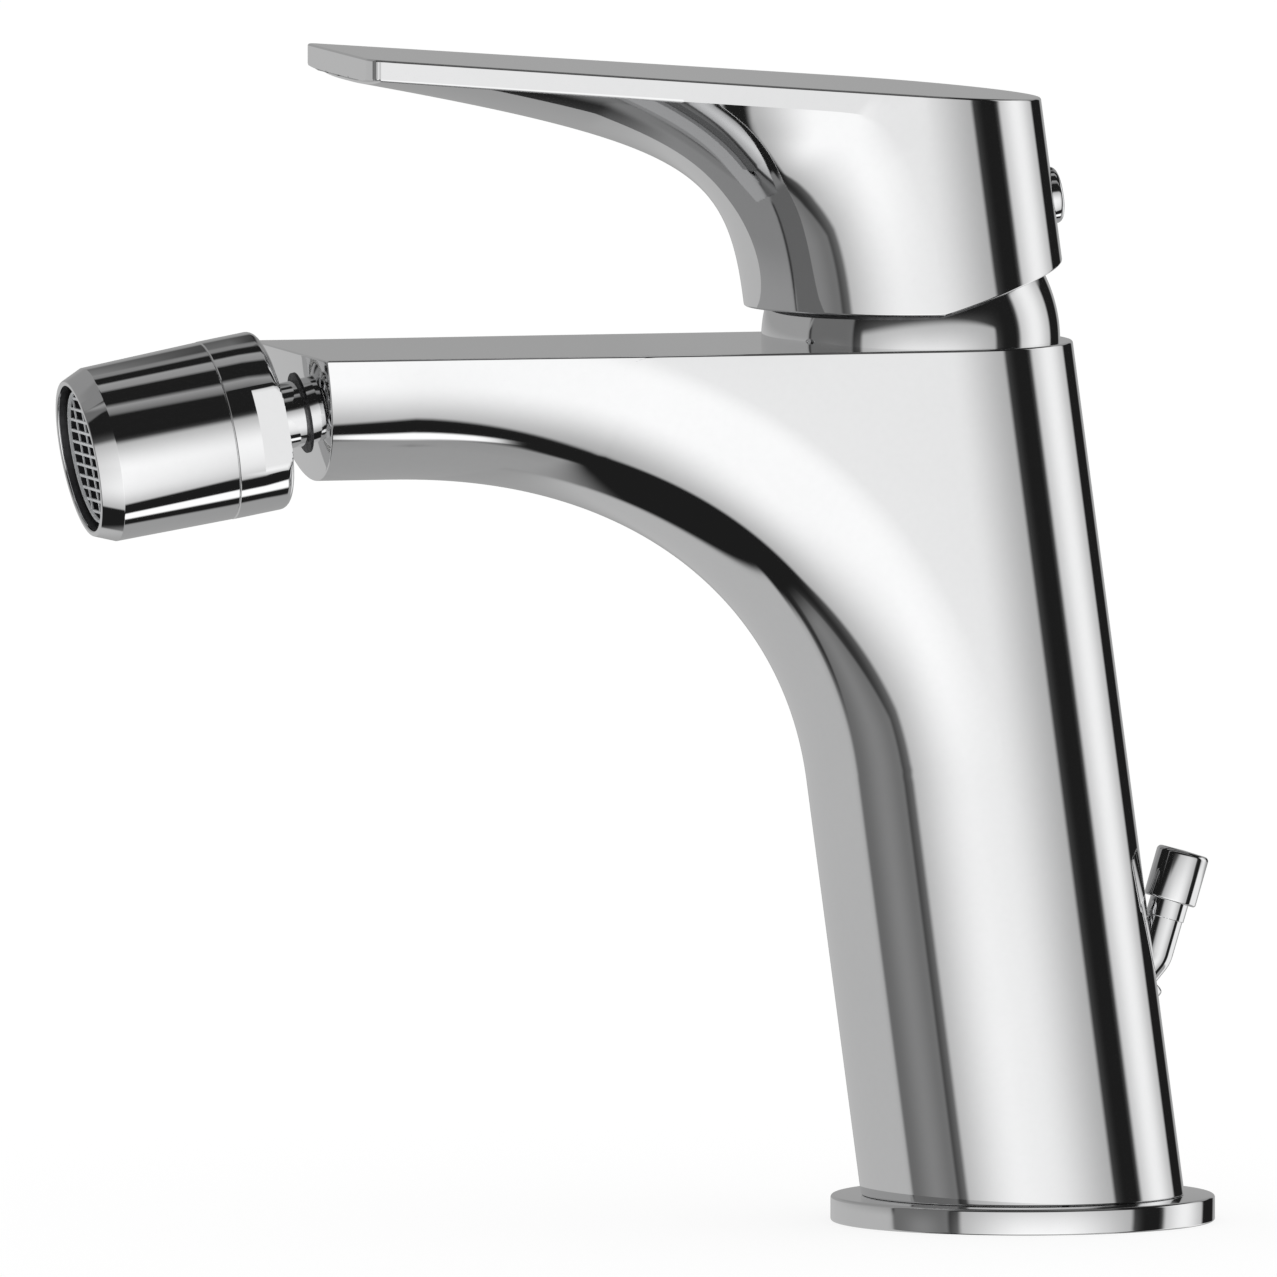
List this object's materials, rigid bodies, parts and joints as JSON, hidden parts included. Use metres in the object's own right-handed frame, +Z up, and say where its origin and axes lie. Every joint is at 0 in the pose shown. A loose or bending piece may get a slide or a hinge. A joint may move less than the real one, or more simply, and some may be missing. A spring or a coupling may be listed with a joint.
{
  "type": "bidet_mixer",
  "caption": "Chrome single-lever bidet mixer with a leaning column, a flat-topped spout, a ball-joint nozzle and a pop-up waste rod behind the column.",
  "frame": {"origin": "Centre of the underside of the base ring, on the deck", "axes": "+Z up from the deck, -X along the spout, +Y to the right of someone facing the spout end from behind"},
  "size_m": [0.1592, 0.052, 0.1598],
  "materials": {
    "chrome": "bright polished chrome plate",
    "nut_brass": "machined brass",
    "seal_rubber": "black rubber",
    "white_plastic": "white moulded plastic",
    "disc_ceramic": "lapped white ceramic",
    "inner_steel": "plain steel"
  },
  "bodies": {
    "fixed_body": {"body_casting": "chrome", "base_ring": "chrome", "base_gasket": "seal_rubber", "dome_cover": "chrome", "dome_o_ring": "seal_rubber", "cartridge_nut": "nut_brass", "cartridge_housing": "white_plastic", "cartridge_base": "white_plastic", "port_seals": "seal_rubber", "fixed_ceramic_disc": "disc_ceramic", "ball_nipple": "chrome", "nipple_o_ring": "seal_rubber", "rod_bush": "chrome"},
    "spindle": {"spindle_carrier": "white_plastic", "stem_pin": "inner_steel"},
    "mixing_disc": {"moving_ceramic_disc": "disc_ceramic", "disc_coupler": "white_plastic"},
    "lever": {"lever_handle": "chrome", "lever_stem": "inner_steel", "grub_screw": "inner_steel", "index_plug": "chrome"},
    "nozzle_liner": {"ball_liner": "white_plastic"},
    "nozzle": {"nozzle_collar": "chrome", "nozzle_shell": "chrome", "ball_seal": "seal_rubber", "outlet_gasket": "seal_rubber", "outlet_screen": "inner_steel", "outlet_insert": "white_plastic"},
    "waste_pull": {"waste_rod": "chrome", "waste_knob": "chrome"}
  },
  "joints": [
    {"name": "lever_swivel", "type": "hinge", "parent": "fixed_body", "child": "spindle", "pos_m": [-0.01568, 0, 0.1195], "axis": [-0.134, 0, 0.991], "range_deg": [-45, 45]},
    {"name": "lever_tilt", "type": "hinge", "parent": "spindle", "child": "lever", "pos_m": [-0.01568, 0, 0.1195], "axis": [0, 1, 0], "range_deg": [0, 22]},
    {"name": "disc_slide", "type": "slide", "parent": "spindle", "child": "mixing_disc", "axis": [-0.991, 0, -0.134], "range_m": [0, 0.0033]},
    {"name": "nozzle_pan", "type": "hinge", "parent": "fixed_body", "child": "nozzle_liner", "pos_m": [-0.11018, 0, 0.1093], "axis": [-0.1822, 0, 0.9833], "range_deg": [-12, 12]},
    {"name": "nozzle_tilt", "type": "hinge", "parent": "nozzle_liner", "child": "nozzle", "pos_m": [-0.11018, 0, 0.1093], "axis": [0, 1, 0], "range_deg": [-12, 12]},
    {"name": "waste_rod_slide", "type": "slide", "parent": "fixed_body", "child": "waste_pull", "axis": [0.6428, 0, 0.766], "range_m": [0, 0.012]}
  ],
  "couplings": [
    {"joint": "disc_slide", "follows": "lever_tilt", "m_per_rad": 0.0084479}
  ]
}
